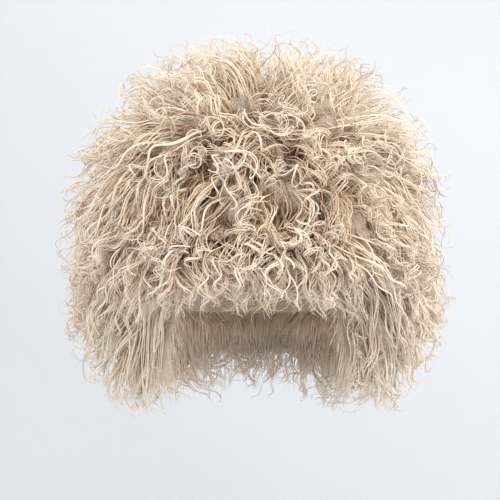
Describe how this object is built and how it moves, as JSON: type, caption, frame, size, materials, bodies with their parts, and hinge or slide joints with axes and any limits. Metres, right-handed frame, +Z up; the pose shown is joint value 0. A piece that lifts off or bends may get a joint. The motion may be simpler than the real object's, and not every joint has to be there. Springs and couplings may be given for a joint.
{
  "type": "fuzzy hat",
  "caption": "Soft round cap with a deep pile of long curly locks, a short fringe over the face opening and longer locks hanging from the ears round the nape.",
  "frame": {"origin": "top of the cap's inside, where the crown of the head bears", "axes": "+Z up, -Y out of the face opening, +X the wearer's left"},
  "size_m": [0.3202, 0.3475, 0.3125],
  "materials": {
    "hide_backing": "soft brushed hide and knit backing",
    "curly_pile": "long wavy wool locks, dull at the root and paler at the curled tips"
  },
  "bodies": {
    "root": {"cap": "hide_backing", "fur": "curly_pile"}
  },
  "joints": []
}
